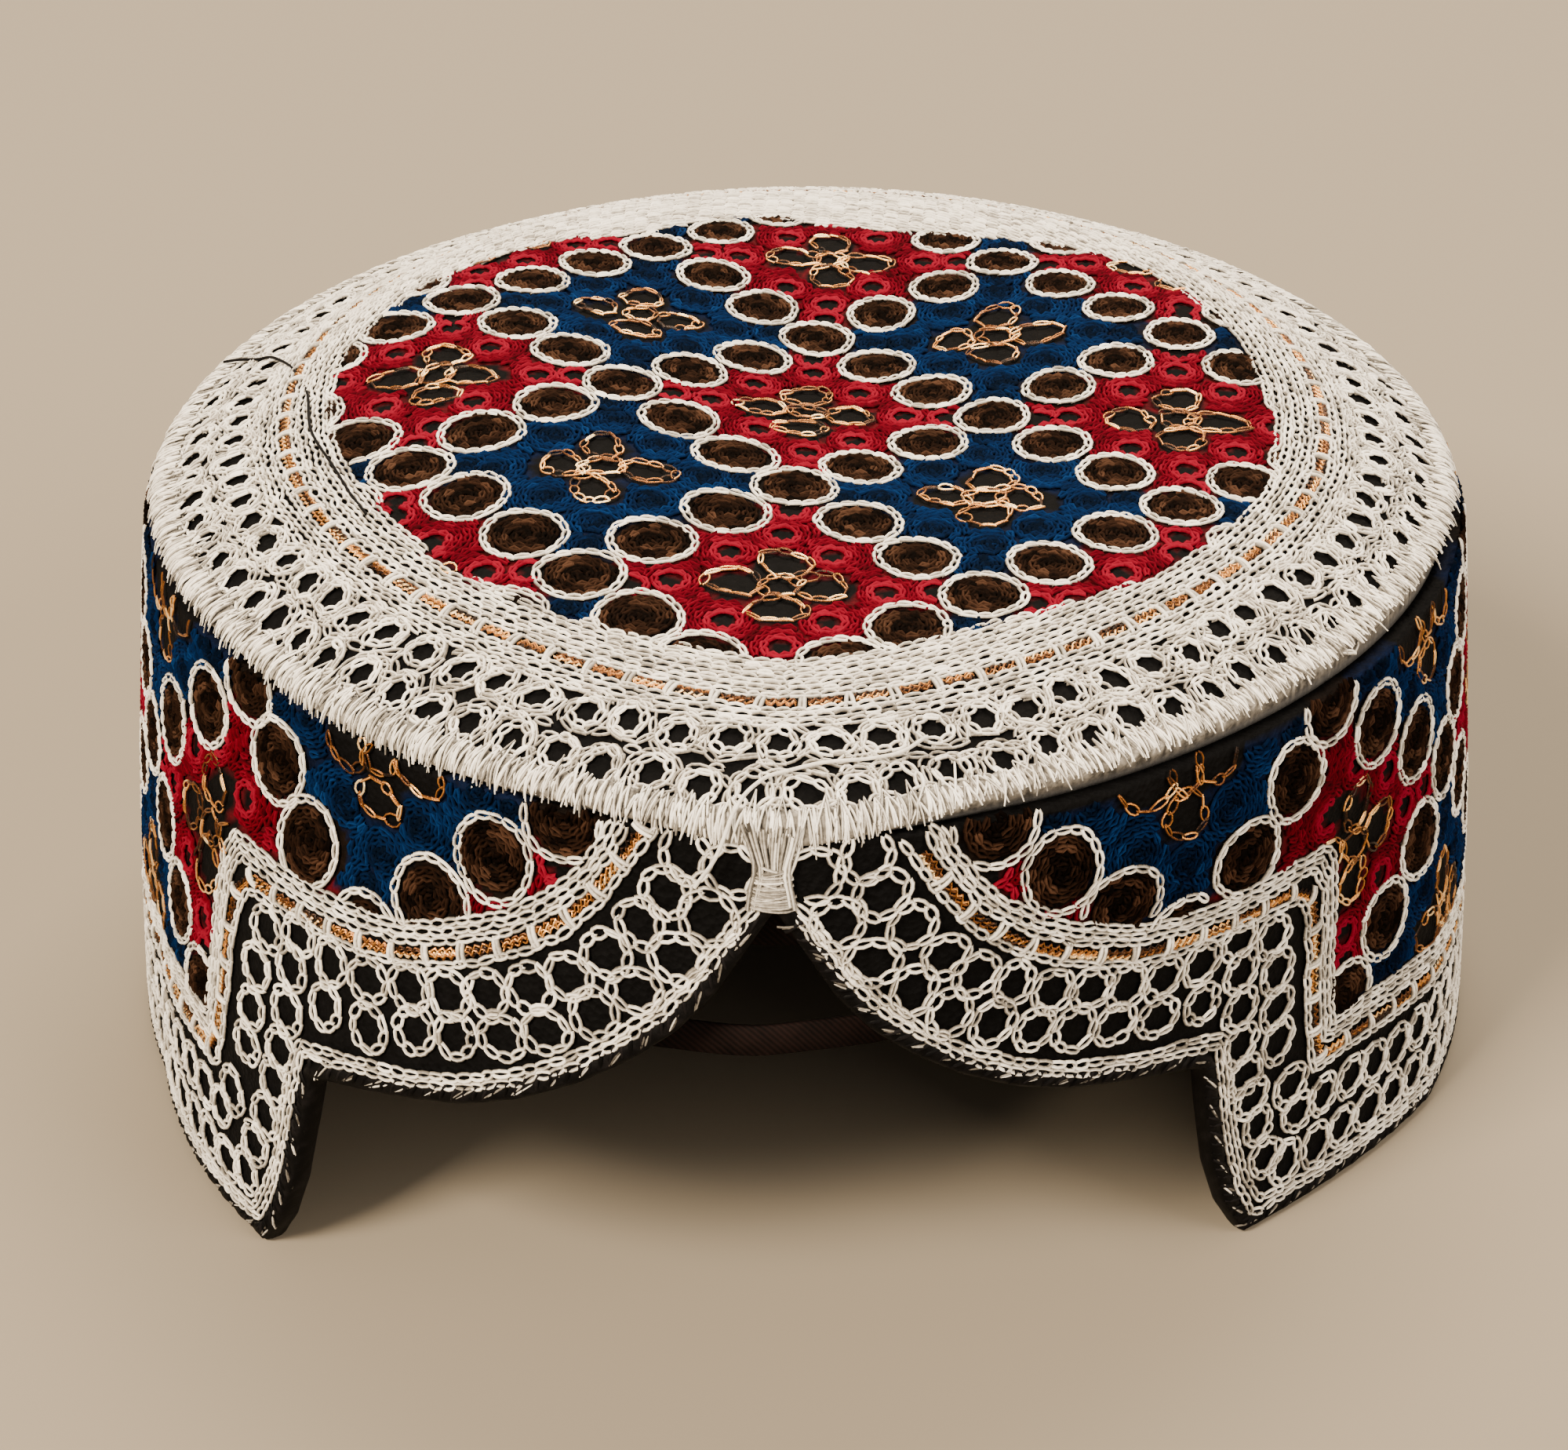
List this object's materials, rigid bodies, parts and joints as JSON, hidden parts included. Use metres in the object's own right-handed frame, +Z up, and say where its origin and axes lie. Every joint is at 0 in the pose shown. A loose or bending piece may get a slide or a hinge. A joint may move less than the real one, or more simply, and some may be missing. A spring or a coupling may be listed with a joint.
{
  "type": "sindhi cap",
  "caption": "Stiff embroidered cap with a low padded crown, an upright band and a cusped arch cut from its front, worn on the head.",
  "frame": {"origin": "middle of the cap's plan, on the plane of the base ring it stands on", "axes": "+Z up through the crown, -Y out of the arch at the front, +X to the right as seen from the front"},
  "size_m": [0.178, 0.1944, 0.086],
  "materials": {
    "side_wall": "dense thread embroidery over padded cotton",
    "arch_binding": "matte black cotton",
    "base_binding": "matte black cotton",
    "seam_roll": "white overcast thread",
    "crown": "dense thread embroidery over padded cotton",
    "side_lining": "dark brown twill",
    "crown_lining": "dark brown twill",
    "head_tape": "dark brown twill tape"
  },
  "bodies": {
    "root": {"side_wall": "side_wall", "arch_binding": "arch_binding", "base_binding": "base_binding", "seam_roll": "seam_roll", "crown": "crown", "side_lining": "side_lining", "crown_lining": "crown_lining", "head_tape": "head_tape"}
  },
  "joints": []
}
